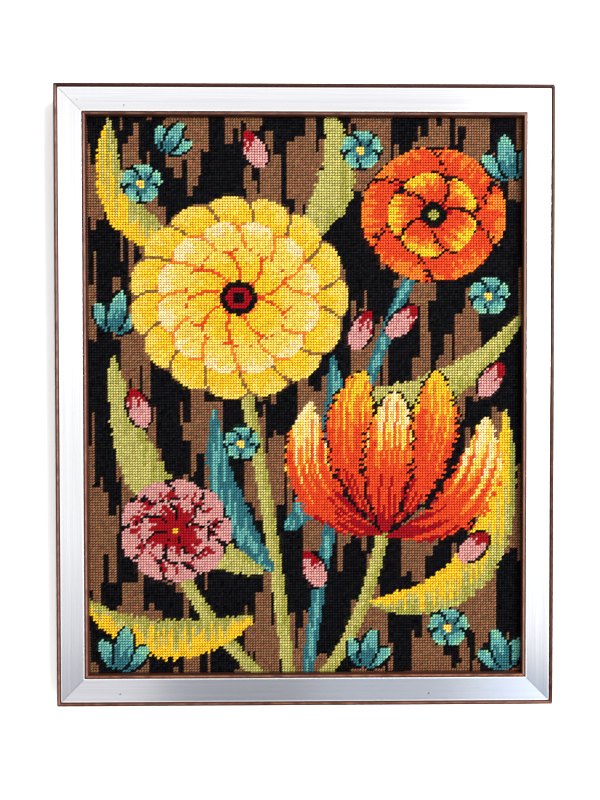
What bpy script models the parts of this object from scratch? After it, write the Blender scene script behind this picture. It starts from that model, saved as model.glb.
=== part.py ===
"""Framed needlepoint panel: a stitched canvas held flat in a mitred wooden frame.

Each side of the frame is a wooden bar with a rounded outer bead, a shallow
channel that holds an aluminium strip, a rounded inner lip, and a rebate behind
the lip for the canvas. The panel stands in the XZ plane and faces -Y. The
origin is the middle of the top bar's back face, where the frame meets a wall.
"""

import math

import bmesh
import bpy

# Driving dimensions, in metres
OUTER_WIDTH = 0.472
OUTER_HEIGHT = 0.588
BAR_WIDTH = 0.030
BAR_DEPTH = 0.022  # from the wall to the top of the outer bead
BEAD_WIDTH = 0.004
LIP_WIDTH = 0.0035
LIP_TOP = 0.0218  # from the wall
BEAD_RISE = 0.0014  # height of a bead's rounded top
CHANNEL_FLOOR = 0.0200  # from the wall
METAL_THICKNESS = 0.0008
METAL_EDGE = 0.0005  # width of the strip's bevelled edges
REBATE_LEDGE = 0.006  # how far the lip reaches over the canvas
REBATE_DEPTH = 0.0160  # from the wall to the back of the lip
CANVAS_THICKNESS = 0.003  # canvas and wool together
GAP = 0.0003  # between pieces that touch
ARC_STEPS = 8  # facets of a bead's rounded top

# A side of the frame: its name, and how far the bottom bar turns to lie there
SIDES = (
    ("bottom", 0),
    ("left", 90),
    ("top", 180),
    ("right", 270),
)

# A finish: colour, roughness and metallic value
WOOL = ((0.30, 0.17, 0.06), 0.95, 0.0)
WOOD = ((0.16, 0.06, 0.03), 0.35, 0.0)
METAL = ((0.82, 0.83, 0.85), 0.30, 1.0)

# Worked out from the driving dimensions
BACK_FACE_WIDTH = BAR_WIDTH - REBATE_LEDGE
CENTRE_HEIGHT = BACK_FACE_WIDTH / 2 - OUTER_HEIGHT / 2
MITRE_SETBACK = GAP / 2 * math.sqrt(2)
CANVAS_FRONT = REBATE_DEPTH - GAP
CANVAS_MARGIN = BACK_FACE_WIDTH + GAP


def clear_scene():
    """Remove whatever the scene holds."""
    for thing in list(bpy.data.objects):
        bpy.data.objects.remove(thing, do_unlink=True)


def make_material(name, finish):
    """A Principled material with one colour, roughness and metallic value."""
    colour, roughness, metallic = finish
    material = bpy.data.materials.new(name)
    material.use_nodes = True
    shader = material.node_tree.nodes["Principled BSDF"]
    shader.inputs["Base Color"].default_value = (*colour, 1.0)
    shader.inputs["Roughness"].default_value = roughness
    shader.inputs["Metallic"].default_value = metallic
    return material


def rounded_top(start, width, top):
    """Points of a half-round top, from its outer shoulder to its inner one."""
    half = width / 2
    shoulder = top - BEAD_RISE
    angles = [math.pi * step / ARC_STEPS for step in range(ARC_STEPS + 1)]
    return [
        (start + half - half * math.cos(angle), shoulder + BEAD_RISE * math.sin(angle))
        for angle in angles
    ]


def wood_section():
    """The bar's section as (distance in from the outer edge, distance from the wall)."""
    lip_start = BAR_WIDTH - LIP_WIDTH
    bead = rounded_top(0.0, BEAD_WIDTH, BAR_DEPTH)
    lip = rounded_top(lip_start, LIP_WIDTH, LIP_TOP)
    channel = [(BEAD_WIDTH, CHANNEL_FLOOR), (lip_start, CHANNEL_FLOOR)]
    rebate = [
        (BAR_WIDTH, REBATE_DEPTH),
        (BACK_FACE_WIDTH, REBATE_DEPTH),
        (BACK_FACE_WIDTH, 0.0),
    ]
    return [(0.0, 0.0), *bead, *channel, *lip, *rebate]


def metal_section():
    """The strip's section, in the same terms as wood_section."""
    outer = BEAD_WIDTH + GAP
    inner = BAR_WIDTH - LIP_WIDTH - GAP
    under = CHANNEL_FLOOR + GAP
    face = under + METAL_THICKNESS
    return [
        (outer, under),
        (outer, face - METAL_EDGE),
        (outer + METAL_EDGE, face),
        (inner - METAL_EDGE, face),
        (inner, face - METAL_EDGE),
        (inner, under),
    ]


def mitred_bar(name, section, half_length, half_span, turn, material):
    """One side of the frame, made as the bottom bar and turned into place.

    half_length is half the side's outer length, and half_span is how far the
    side's outer edge lies from the middle of the frame.
    """
    shape = bmesh.new()
    near = [shape.verts.new((0.0, -rise, inward - half_span)) for inward, rise in section]
    grown = bmesh.ops.extrude_face_region(shape, geom=[shape.faces.new(near)])
    far = [item for item in grown["geom"] if isinstance(item, bmesh.types.BMVert)]
    for direction, ring in ((-1, near), (1, far)):
        for vert in ring:
            inward = vert.co.z + half_span
            vert.co.x = direction * (half_length - inward - MITRE_SETBACK)
    bmesh.ops.recalc_face_normals(shape, faces=shape.faces)
    bar = add_object(name, shape, material)
    bar.rotation_euler = (0.0, math.radians(turn), 0.0)
    bar.location = (0.0, 0.0, CENTRE_HEIGHT)
    return bar


def add_object(name, shape, material):
    """Turn a bmesh into a named object that wears the material."""
    mesh = bpy.data.meshes.new(name)
    shape.to_mesh(mesh)
    shape.free()
    mesh.materials.append(material)
    thing = bpy.data.objects.new(name, mesh)
    bpy.context.scene.collection.objects.link(thing)
    return thing


def make_frame(wood, metal):
    """The four wooden bars and the four metal strips let into them."""
    for side, turn in SIDES:
        upright = turn % 180 == 90
        half_length = (OUTER_HEIGHT if upright else OUTER_WIDTH) / 2
        half_span = (OUTER_WIDTH if upright else OUTER_HEIGHT) / 2
        mitred_bar(f"moulding_{side}", wood_section(), half_length, half_span, turn, wood)
        mitred_bar(f"metal_face_{side}", metal_section(), half_length, half_span, turn, metal)


def make_canvas(wool):
    """The stitched canvas, one flat sheet behind the lips."""
    width = OUTER_WIDTH - 2 * CANVAS_MARGIN
    height = OUTER_HEIGHT - 2 * CANVAS_MARGIN
    shape = bmesh.new()
    bmesh.ops.create_cube(shape, size=1.0)
    bmesh.ops.scale(shape, vec=(width, CANVAS_THICKNESS, height), verts=shape.verts)
    canvas = add_object("needlepoint_canvas", shape, wool)
    canvas.location = (0.0, CANVAS_THICKNESS / 2 - CANVAS_FRONT, CENTRE_HEIGHT)
    return canvas


def main():
    clear_scene()
    make_canvas(make_material("wool_canvas", WOOL))
    make_frame(make_material("stained_wood", WOOD), make_material("aluminium", METAL))


main()
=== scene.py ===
"""Looks of a framed needlepoint panel: wool half cross stitch on canvas, held in a frame.

The frame is stained wood with an aluminium face. All places are in metres in the
panel's own frame: +X to the right of someone looking at the stitches, +Z up, and
-Y out of the stitched face towards that person. The design is a flower piece that
is charted here by shapes, one wool for each stitch.
"""

import logging
import math
from collections.abc import Iterable, Sequence
from dataclasses import dataclass, field
from enum import Enum

import bmesh
import bpy
import numpy as np
from mathutils import Matrix, Vector


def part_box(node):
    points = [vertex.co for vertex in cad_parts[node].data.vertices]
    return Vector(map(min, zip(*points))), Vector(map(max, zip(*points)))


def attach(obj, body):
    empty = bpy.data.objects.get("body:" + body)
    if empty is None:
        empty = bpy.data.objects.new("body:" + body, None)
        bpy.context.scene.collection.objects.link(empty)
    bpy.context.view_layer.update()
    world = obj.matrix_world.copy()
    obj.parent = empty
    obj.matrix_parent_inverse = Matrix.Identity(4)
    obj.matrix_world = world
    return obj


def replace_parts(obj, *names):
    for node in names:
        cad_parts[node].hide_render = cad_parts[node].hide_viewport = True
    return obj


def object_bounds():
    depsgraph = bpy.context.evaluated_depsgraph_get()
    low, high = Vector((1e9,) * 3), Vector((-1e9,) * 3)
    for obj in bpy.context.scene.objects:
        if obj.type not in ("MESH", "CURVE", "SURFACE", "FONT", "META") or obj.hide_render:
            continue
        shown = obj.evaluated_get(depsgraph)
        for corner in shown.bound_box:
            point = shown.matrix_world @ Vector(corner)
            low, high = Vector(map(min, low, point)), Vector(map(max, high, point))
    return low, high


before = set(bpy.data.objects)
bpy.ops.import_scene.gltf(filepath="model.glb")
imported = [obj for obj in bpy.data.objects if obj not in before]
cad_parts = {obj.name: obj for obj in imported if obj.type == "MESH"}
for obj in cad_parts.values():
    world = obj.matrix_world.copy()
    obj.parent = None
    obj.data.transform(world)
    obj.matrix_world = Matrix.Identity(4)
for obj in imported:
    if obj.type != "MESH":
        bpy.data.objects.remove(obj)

LOG = logging.getLogger("needlepoint_panel")
BODY = "root"
CAD_LOW, CAD_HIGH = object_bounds()
CENTRE_HEIGHT = (CAD_LOW.z + CAD_HIGH.z) / 2

Point = tuple[float, float]
Triple = tuple[float, float, float]
Colour = Triple
Array = np.ndarray
Shape = bmesh.types.BMesh
Mesh = bpy.types.Mesh
Piece = bpy.types.Object
Material = bpy.types.Material
Socket = bpy.types.NodeSocket
Inputs = dict[str | int, object]


# --- The design on squared paper -------------------------------------------------------


class Wool(Enum):
    """The wools of the design, by the maker's names."""

    BLACK = "black"
    BROWN = "brown"
    OLIVE = "olive"
    STRAW = "straw"
    GOLD = "gold"
    YELLOW = "yellow"
    CREAM = "cream"
    ORANGE = "orange"
    SCARLET = "scarlet"
    CRIMSON = "crimson"
    PINK = "pink"
    TEAL = "teal"
    TURQUOISE = "turquoise"
    MINT = "mint"


WOOLS = tuple(Wool)


def skeins(names: str) -> tuple[Wool, ...]:
    """The wools of a motif, from its root or middle to its tip or rim."""
    return tuple(Wool(name) for name in names.split())


EMBER = skeins("crimson scarlet scarlet orange gold")
FLAME = skeins("crimson crimson scarlet scarlet scarlet orange yellow cream")
POPPY_RED = skeins("black crimson crimson scarlet scarlet scarlet orange")
ROSE = skeins("crimson crimson crimson pink pink")
HONEY = skeins("orange gold gold gold yellow")
BUTTER = skeins("gold gold yellow yellow yellow cream")
MEADOW = skeins("olive straw straw")
BARLEY = skeins("olive straw gold gold")
LAGOON = skeins("teal turquoise teal")
BLOSSOM = skeins("teal teal turquoise turquoise mint")
BLUSH = skeins("pink pink crimson")


@dataclass(frozen=True)
class Brush:
    """One shape of the design, laid along a bent line from root to tip, in stitches."""

    root: Point
    bend: Point
    tip: Point
    width: float
    shades: tuple[Wool, ...]
    belly: float = 0.5  # how far along it is widest, from 0 to 1
    fullness: float = 2.0  # 1 is a lozenge, 2 an oval, more is blunt
    flicker: float = 0.12  # how far the shades run into each other
    fray: float = 0.0  # how ragged the outline is
    upright: bool = False  # its shades run up and down, not along it
    rim: Wool | None = None  # the wool of an outline one stitch wide


def stem(root: Point, bend: Point, tip: Point, shades: tuple[Wool, ...] = MEADOW) -> Brush:
    """A stalk of even width."""
    return Brush(root, bend, tip, 4.8, shades, fullness=9.0, flicker=0.2, upright=True)


def leaf(root: Point, bend: Point, tip: Point, width: float, shades: tuple[Wool, ...]) -> Brush:
    """A long pointed leaf, streaked up and down."""
    form = {"belly": 0.44, "fullness": 1.5, "flicker": 0.34, "fray": 0.06}
    return Brush(root, bend, tip, width, shades, **form, upright=True)


def petal(
    root: Point, bend: Point, tip: Point, shades: tuple[Wool, ...], rim: Wool | None = None
) -> Brush:
    """A lily's petal, flamed from root to tip."""
    form = {"belly": 0.58, "fullness": 1.55, "flicker": 0.2, "fray": 0.08}
    return Brush(root, bend, tip, 18.5, shades, **form, rim=rim)


def straight(root: Point, tip: Point, width: float, shades: tuple[Wool, ...]) -> Brush:
    """A small straight shape with a black outline, such as a bud."""
    middle = ((root[0] + tip[0]) / 2, (root[1] + tip[1]) / 2)
    return Brush(root, middle, tip, width, shades, belly=0.45, fullness=1.7, flicker=0.2, rim=Wool.BLACK)


def sprig(root: Point, heading: float, length: float) -> tuple[Brush, ...]:
    """Three small blue-green leaves that fan out from one root.

    Args:
        root: where they meet.
        heading: the middle leaf's direction, in degrees up from the right.
        length: the middle leaf's length.

    Returns:
        The leaves, the middle one last.
    """
    leaves = []
    for turn, share in ((-42, 0.8), (42, 0.8), (0, 1.0)):
        angle = math.radians(heading + turn)
        tip = (root[0] + share * length * math.cos(angle), root[1] + share * length * math.sin(angle))
        leaves.append(straight(root, tip, length * 0.4, BLOSSOM))
    return tuple(leaves)


@dataclass(frozen=True)
class Ring:
    """One ring of a bloom's petals, with its radii in stitches."""

    petals: int
    inner: float
    outer: float
    width: float
    shades: tuple[Wool, ...]
    rim: Wool
    turn: float = 0.0  # the share of a petal that the ring is turned by
    fray: float = 0.0
    flicker: float = 0.14
    fullness: float = 2.4
    belly: float = 0.62


@dataclass(frozen=True)
class Bloom:
    """A round flower: rings of petals, outermost first, and a ringed heart."""

    centre: Point
    rings: tuple[Ring, ...]
    heart: float
    heart_shades: tuple[Wool, ...] = skeins("black crimson black")
    squash: float = 0.95  # its height over its width


def blossom(across: float, up: float, radius: float = 7.5) -> Bloom:
    """A small blue-green flower of five petals."""
    ring = Ring(5, 0.5, radius, radius * 0.95, BLOSSOM, Wool.BLACK, turn=0.25, belly=0.66)
    return Bloom((across, up), (ring,), radius * 0.26, (Wool.YELLOW,), squash=1.0)


STEMS = (
    stem((76, -6), (70, 60), (58, 118)),
    stem((84, -6), (104, 14), (112, 60)),
    stem((82, -6), (92, 96), (128, 168), LAGOON),
    stem((72, -6), (50, 10), (34, 42)),
)

LEAVES = (
    leaf((66, 40), (16, 56), (10, 124), 17, MEADOW),
    leaf((106, 28), (162, 22), (157, 104), 16, BARLEY),
    leaf((38, 166), (4, 172), (9, 215), 14, BARLEY),
    leaf((78, 168), (102, 184), (90, 220), 14, MEADOW),
    leaf((98, 110), (134, 98), (164, 140), 13, MEADOW),
    leaf((62, 22), (24, 2), (-2, 30), 15, BARLEY),
    leaf((74, 56), (98, 78), (92, 124), 13, LAGOON),
    leaf((70, 40), (46, 66), (48, 104), 11, LAGOON),
)

LILY = (
    petal((112, 54), (76, 64), (84, 106), FLAME),
    petal((112, 54), (150, 56), (150, 100), FLAME),
    petal((112, 56), (92, 88), (104, 118), EMBER, rim=Wool.BLACK),
    petal((112, 56), (133, 84), (131, 118), EMBER, rim=Wool.BLACK),
    petal((112, 54), (112, 80), (116, 110), FLAME, rim=Wool.BLACK),
)

DAHLIA = Bloom(
    (57, 146),
    (
        Ring(15, 16, 41, 17.0, HONEY, Wool.BROWN),
        Ring(12, 9, 31, 14.5, BUTTER, Wool.ORANGE, turn=0.5),
        Ring(9, 3, 20, 11.5, HONEY, Wool.SCARLET),
    ),
    7,
)

POPPY = Bloom(
    (130, 178),
    (
        Ring(6, 1, 27, 26.0, POPPY_RED, Wool.BLACK, fray=0.04, fullness=2.6),
        Ring(5, 1, 17, 16.0, EMBER, Wool.BLACK, turn=0.5, fray=0.04),
    ),
    5,
    skeins("olive black black"),
)

CARNATION = Bloom(
    (33, 56),
    (
        Ring(9, 3, 21, 14.5, ROSE, Wool.BLACK, fray=0.05, flicker=0.2),
        Ring(7, 2, 13, 10.5, ROSE, Wool.BLACK, turn=0.5, fray=0.05, flicker=0.25),
    ),
    3,
    skeins("gold crimson"),
)

BLOSSOMS = (
    blossom(103, 203),
    blossom(151, 147),
    blossom(21, 190),
    blossom(136, 18),
    blossom(58, 90, 6.5),
)

SPRIGS = (
    *sprig((159, 192), 100, 17),
    *sprig((10, 133), 78, 16),
    *sprig((158, 2), 108, 16),
    *sprig((104, 3), 75, 15),
    *sprig((12, 2), 80, 17),
    *sprig((30, 202), 62, 13),
)

BUDS = tuple(
    straight(root, tip, 8.0, BLUSH)
    for root, tip in (
        ((100, 126), (106, 141)),
        ((113, 131), (124, 143)),
        ((22, 96), (17, 111)),
        ((140, 44), (151, 55)),
        ((148, 108), (156, 121)),
        ((88, 34), (82, 48)),
        ((66, 196), (60, 210)),
    )
)


@dataclass
class Chart:
    """The design on squared paper: one wool for each stitch, row 0 at the bottom."""

    columns: int = 164
    rows: int = 216
    seed: int = 11
    patch_width: int = 17  # of the brown patches of the ground
    patch_height: float = 44.0
    patch_spacing: tuple[int, int] = (21, 50)
    patch_shift: float = 0.25  # how far a patch can lie out of place, over the spacing
    comb: float = 12.0  # how far the teeth of a patch's ends differ, in stitches
    widest_tooth: int = 3
    rim_width: float = 1.1  # of an outline, in stitches
    thinnest: float = 0.6  # half the width that a shape has to have for an outline
    curve_steps: int = 80
    random: np.random.Generator = field(init=False)
    cells: Array = field(init=False)

    def __post_init__(self) -> None:
        """Start with a sheet of plain black."""
        self.random = np.random.default_rng(self.seed)
        self.cells = np.full((self.rows, self.columns), WOOLS.index(Wool.BLACK))

    def lay_patch(self, across: float, up: float) -> None:
        """Lay one brown patch of upright teeth round a middle.

        Args:
            across: how far across the middle is, in stitches.
            up: how far up it is.
        """
        column = int(across - self.patch_width / 2)
        last = column + self.patch_width
        while column < last:
            after = column + int(self.random.integers(1, self.widest_tooth + 1))
            bulge = 1 - abs(column + after - 2 * across) / self.patch_width
            reach = self.patch_height / 2 * max(bulge, 0) ** 0.5
            low, top = up + np.array([-reach, reach]) + self.random.uniform(-self.comb, self.comb, 2)
            rows = slice(*np.clip(np.array([low, top], int), 0, self.rows))
            columns = slice(*np.clip([column, after], 0, self.columns))
            self.cells[rows, columns] = WOOLS.index(Wool.BROWN)
            column = after

    def lay_ground(self) -> None:
        """Scatter brown patches with combed ends over the black."""
        wide, high = self.patch_spacing
        for order, across in enumerate(range(0, self.columns + wide, wide)):
            for up in range(-high // 2 * (order % 2), self.rows + high, high):
                shift = self.random.uniform(-self.patch_shift, self.patch_shift, 2)
                self.lay_patch(across + wide * shift[0], up + high * shift[1])

    def lay(self, cells: Array, mask: Array, tone: Array, shades: Sequence[Wool]) -> None:
        """Fill cells with the shades of a motif.

        Args:
            cells: the part of the chart that the motif can reach.
            mask: which of them to fill.
            tone: from 0 for the first shade to 1 for the last, at each cell.
            shades: the wools.
        """
        codes = np.array([WOOLS.index(wool) for wool in shades])
        steps = np.clip((tone * len(shades)).astype(int), 0, len(shades) - 1)
        cells[mask] = codes[steps][mask]

    def window(self, points: Sequence[Point], margin: float) -> tuple[Array, Array, Array]:
        """The part of the chart near some points.

        Args:
            points: what it holds.
            margin: how far past them it reaches.

        Returns:
            Its cells, and how far across and up the middle of each lies.
        """
        low = np.clip(np.min(points, axis=0) - margin, 0, None).astype(int)
        high = np.clip(np.max(points, axis=0) + margin, 0, (self.columns, self.rows)).astype(int)
        across, up = np.meshgrid(np.arange(low[0], high[0]) + 0.5, np.arange(low[1], high[1]) + 0.5)
        return self.cells[low[1] : high[1], low[0] : high[0]], across, up

    def along(self, brush: Brush, across: Array, up: Array) -> tuple[Array, Array, Array]:
        """Where each cell lies along a brush's line.

        Args:
            brush: the shape.
            across: how far across each cell is.
            up: how far up it is.

        Returns:
            The share of the line's length, the signed distance from it in stitches,
            and the shape's half width there.
        """
        share = np.linspace(0, 1, self.curve_steps)[:, None]
        root, bend, tip = (np.array(point, float) for point in (brush.root, brush.bend, brush.tip))
        line = (1 - share) ** 2 * root + 2 * share * (1 - share) * bend + share**2 * tip
        course = (1 - share) * (bend - root) + share * (tip - bend)
        course /= np.linalg.norm(course, axis=1, keepdims=True)
        away = np.stack([across, up], axis=-1)[:, :, None, :] - line
        nearest = np.argmin((away**2).sum(axis=-1), axis=-1)
        offset = np.take_along_axis(away, nearest[:, :, None, None], axis=2)[:, :, 0]
        heading = course[nearest]
        side = heading[..., 0] * offset[..., 1] - heading[..., 1] * offset[..., 0]
        onward = (heading * offset).sum(axis=-1)
        place = share[nearest, 0] + onward / np.linalg.norm(tip - root)
        bulge = np.clip(place, 0, 1) ** (math.log(0.5) / math.log(brush.belly))
        spread = np.abs(2 * bulge - 1) ** brush.fullness
        half = brush.width / 2 * np.clip(1 - spread, 0, 1) ** (1 / brush.fullness)
        return place, side, np.where((place < 0) | (place > 1), 0.0, half)

    def paint(self, brush: Brush) -> None:
        """Lay one shape with its shades, flicker, frayed outline and rim.

        Args:
            brush: the shape.
        """
        cells, across, up = self.window((brush.root, brush.bend, brush.tip), brush.width)
        place, side, half = self.along(brush, across, up)
        lanes = self.random.uniform(-1, 1, 2 * self.rows)
        lane = across if brush.upright else side + self.rows
        stray = lanes[np.clip(lane.astype(int), 0, len(lanes) - 1)]
        notches = self.random.uniform(-1, 1, self.curve_steps)
        notch = notches[np.clip(place * self.curve_steps, 0, self.curve_steps - 1).astype(int)]
        reach = half * (1 + brush.fray * 2 * notch) - brush.fray * brush.width / 4 * stray
        reach = np.where(half > 0, reach, 0.0)
        if brush.rim:
            rim = np.where(half > self.thinnest, self.rim_width, 0)
            cells[np.abs(side) < reach + rim] = WOOLS.index(brush.rim)
        onward = 0.5 + 0.5 * side / np.maximum(half, 1) if brush.upright else place
        self.lay(cells, np.abs(side) < reach, onward + brush.flicker * stray, brush.shades)

    def paint_bloom(self, bloom: Bloom) -> None:
        """Lay a round flower, ring by ring, and its heart.

        Args:
            bloom: the flower.
        """
        centre = np.array(bloom.centre)
        for ring in bloom.rings:
            for number in range(ring.petals):
                angle = math.tau * (number + ring.turn) / ring.petals
                toward = np.array([math.cos(angle), math.sin(angle) * bloom.squash])
                root, tip = centre + toward * ring.inner, centre + toward * ring.outer
                line = (tuple(root), tuple((root + tip) / 2), tuple(tip))
                form = (ring.belly, ring.fullness, ring.flicker, ring.fray)
                self.paint(Brush(*line, ring.width, ring.shades, *form, rim=ring.rim))
        cells, across, up = self.window((bloom.centre,), bloom.heart)
        radius = np.hypot(across - centre[0], (up - centre[1]) / bloom.squash) / bloom.heart
        self.lay(cells, radius < 1, radius, bloom.heart_shades)

    def draw(self) -> "Chart":
        """Lay the whole design, the farthest motifs first.

        Returns:
            The chart itself.
        """
        self.lay_ground()
        for brush in (*STEMS, *LEAVES):
            self.paint(brush)
        self.paint_bloom(POPPY)
        self.paint_bloom(CARNATION)
        for brush in (*LILY, *BUDS, *SPRIGS):
            self.paint(brush)
        for bloom in (DAHLIA, *BLOSSOMS):
            self.paint_bloom(bloom)
        return self

    def code_at(self, across: float, up: float) -> int:
        """The number of the wool at a place in stitches, or else at the nearest edge."""
        column = min(max(int(across), 0), self.columns - 1)
        return self.cells[min(max(int(up), 0), self.rows - 1), column]


# --- Finishes --------------------------------------------------------------------------


class Sketch:
    """A material being made, with short calls for the nodes that the finishes use."""

    def __init__(self, name: str) -> None:
        """Start a material with a Principled shader.

        Args:
            name: the material's name.
        """
        self.material = bpy.data.materials.new(name)
        self.material.use_nodes = True
        self.tree = self.material.node_tree
        self.shader = self.tree.nodes["Principled BSDF"]

    def feed(self, node: bpy.types.Node, inputs: Inputs) -> None:
        """Link a socket to each of these inputs of a node, or give it a value.

        Args:
            node: the node.
            inputs: a socket, a number, a vector or a colour for each input.
        """
        for key, source in inputs.items():
            socket = node.inputs[key]
            if isinstance(source, Socket):
                self.tree.links.new(source, socket)
            else:
                socket.default_value = (*source, 1.0) if socket.type == "RGBA" else source

    def add(self, kind: str, inputs: Inputs | None = None, **settings: object) -> bpy.types.Node:
        """Add a node.

        Args:
            kind: its type.
            inputs: what to feed it with.
            settings: its properties.

        Returns:
            The node.
        """
        node = self.tree.nodes.new(kind)
        for name, value in settings.items():
            setattr(node, name, value)
        self.feed(node, inputs or {})
        return node

    def set(self, **inputs: object) -> None:
        """Feed the shader's sockets, with _ for a space in their names."""
        self.feed(self.shader, {name.replace("_", " "): source for name, source in inputs.items()})

    def place(self, scale: Triple, turn: Triple = (0.0, 0.0, 0.0)) -> Socket:
        """Object coordinates, turned by degrees and then scaled.

        Args:
            scale: how many times finer the pattern is along each axis.
            turn: degrees about each axis.

        Returns:
            The vector socket.
        """
        where = self.add("ShaderNodeTexCoord").outputs["Object"]
        radians = [math.radians(angle) for angle in turn]
        turned = self.add("ShaderNodeMapping", {"Vector": where, "Rotation": radians}).outputs[0]
        return self.add("ShaderNodeMapping", {"Vector": turned, "Scale": scale}).outputs[0]

    def noise(self, place: Socket, detail: float = 3.0, roughness: float = 0.5) -> Socket:
        """A noise of scale 1 at a place.

        Args:
            place: the vector that it reads.
            detail: how many finer layers it has.
            roughness: how strong they are.

        Returns:
            The value socket.
        """
        inputs = {"Vector": place, "Scale": 1.0, "Detail": detail, "Roughness": roughness}
        return self.add("ShaderNodeTexNoise", inputs).outputs["Fac"]

    def wave(self, place: Socket, direction: str, distortion: float) -> Socket:
        """Even bands across a direction, one for each unit of the place.

        Args:
            place: the vector that they read.
            direction: X, Y, Z or DIAGONAL.
            distortion: how far they wander.

        Returns:
            The value socket.
        """
        unit = math.pi / 10  # Blender's bands are 20 units over tau
        inputs = {"Vector": place, "Scale": unit, "Distortion": distortion}
        return self.add("ShaderNodeTexWave", inputs, bands_direction=direction).outputs["Fac"]

    def spread(self, value: Socket, source: Point, target: Point = (0.0, 1.0)) -> Socket:
        """Map a value from one range to another, held at the ends."""
        ends = dict(zip(("From Min", "From Max", "To Min", "To Max"), (*source, *target)))
        return self.add("ShaderNodeMapRange", {"Value": value, **ends}).outputs["Result"]

    def blend(
        self, amount: Socket | float, first: Socket | Colour, second: Socket | Colour, how: str = "MIX"
    ) -> Socket:
        """Mix two colours.

        Args:
            amount: how much of the second.
            first: a colour or a socket.
            second: a colour or a socket.
            how: the kind of mix.

        Returns:
            The colour socket.
        """
        inputs = {0: amount, 6: first, 7: second}  # where a colour mix has its sockets
        return self.add("ShaderNodeMix", inputs, data_type="RGBA", blend_type=how).outputs[2]

    def tint(self, first: Socket | Colour, second: Socket | Colour) -> Socket:
        """The product of two colours."""
        return self.blend(1.0, first, second, "MULTIPLY")

    def maths(self, operation: str, *terms: Socket | float) -> Socket:
        """The result of an operation on sockets and numbers."""
        return self.add("ShaderNodeMath", dict(enumerate(terms)), operation=operation).outputs[0]

    def read(self, name: str, output: str) -> Socket:
        """One of the mesh's own attributes."""
        return self.add("ShaderNodeAttribute", attribute_name=name).outputs[output]

    def bump(self, height: Socket, distance: float) -> None:
        """Add relief to the shader, over any that it has.

        Args:
            height: from 0 for the lowest places to 1 for the highest.
            distance: how far apart those are, in metres.
        """
        relief = self.add("ShaderNodeBump", {"Height": height, "Distance": distance, "Strength": 1.0})
        normal = self.shader.inputs["Normal"]
        if normal.is_linked:
            self.feed(relief, {"Normal": normal.links[0].from_socket})
        self.set(Normal=relief.outputs["Normal"])


def linear(red: int, green: int, blue: int) -> Colour:
    """A display colour, 0 to 255, as the light that it reflects."""
    shares = [value / 255 for value in (red, green, blue)]
    return tuple(v / 12.92 if v <= 0.04045 else ((v + 0.055) / 1.055) ** 2.4 for v in shares)


def lengthwise(across: float, along: float, upright: bool) -> Triple:
    """The scale of a pattern that runs along an upright or a level bar."""
    return (across, across, along) if upright else (along, across, across)


def coarser(scale: Triple, share: float) -> Triple:
    """A scale made coarser by a share."""
    return tuple(axis * share for axis in scale)


STRAND_RISE = 33.0  # degrees that a front strand climbs
PLY_ANGLE = 38.0  # degrees between a strand and the twist of its plies
PLIES = 1100.0  # in a metre
FIBRES = (4200.0, 4200.0, 700.0)  # in a metre, across a strand and along it
FADED_PATCHES = (420.0,) * 3  # in a metre
DISPLAY_POWER = 0.45  # turns light into how light it looks


@dataclass(frozen=True)
class WoolFinish:
    """How one dyed wool looks."""

    colour: Colour
    stray: float = 0.09  # how far single stitches stray in lightness
    drift: float = 0.025  # how far they stray in hue
    sheen: float = 0.04
    gloss: float = 0.08
    depth: float = 4.7  # painted shade: how far a shaded place loses light that the wool doesn't reflect on

    def shaded(self, light: Array) -> Array:
        """Painted shade: colour factors, one row each, for places that get these shares of the light."""
        seen = np.array(self.colour) ** DISPLAY_POWER
        return light[:, None] ** (self.depth * (1 - seen) ** 2)

    def material(self, name: str) -> Material:
        """Twisted matt wool, tinted stitch by stitch, with painted shade and highlight along each strand.

        Args:
            name: the material's name.

        Returns:
            The material.
        """
        sketch = Sketch(name)
        sketch.set(Roughness=0.9, Specular_IOR_Level=self.gloss)
        sketch.set(Sheen_Weight=self.sheen, Sheen_Roughness=0.45)
        sketch.set(Sheen_Tint=[min(1.0, 0.2 + value) for value in self.colour])
        # each stitch's random tint times the painted shade and highlight along its strand
        stitch = sketch.tint(self.colour, sketch.read("wool_tint_and_shade", "Color"))
        along = STRAND_RISE - 90
        fibre = sketch.noise(sketch.place(FIBRES, (0, along, 0)), 2.0, 0.6)
        shade = sketch.spread(fibre, (0.25, 0.75), (0.8, 1.15))
        faded = sketch.spread(sketch.noise(sketch.place(FADED_PATCHES), 2.0), (0.3, 0.7), (0.94, 1.05))
        sketch.set(Base_Color=sketch.tint(stitch, sketch.tint(shade, faded)))
        ply = sketch.wave(sketch.place((0, 0, PLIES), (0, along - PLY_ANGLE, 0)), "Z", 2.0)
        sketch.bump(ply, 0.00012)
        sketch.bump(fibre, 0.00008)
        return sketch.material


WOOL_FINISHES = {
    Wool.BLACK: WoolFinish(linear(10, 10, 13), stray=0.3, drift=0.12, sheen=0.0, gloss=0.02, depth=3.0),
    Wool.BROWN: WoolFinish(linear(101, 64, 40), stray=0.13, drift=0.07, sheen=0.12, depth=5.6),
    Wool.OLIVE: WoolFinish(linear(133, 130, 54)),
    Wool.STRAW: WoolFinish(linear(151, 145, 77)),
    Wool.GOLD: WoolFinish(linear(198, 156, 25)),
    Wool.YELLOW: WoolFinish(linear(197, 165, 66)),
    Wool.CREAM: WoolFinish(linear(202, 176, 127)),
    Wool.ORANGE: WoolFinish(linear(194, 98, 24)),
    Wool.SCARLET: WoolFinish(linear(183, 51, 18)),
    Wool.CRIMSON: WoolFinish(linear(129, 0, 12)),
    Wool.PINK: WoolFinish(linear(169, 119, 116)),
    Wool.TEAL: WoolFinish(linear(35, 87, 95), depth=3.4),
    Wool.TURQUOISE: WoolFinish(linear(78, 136, 131), depth=4.2),
    Wool.MINT: WoolFinish(linear(104, 155, 128)),
}


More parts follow.
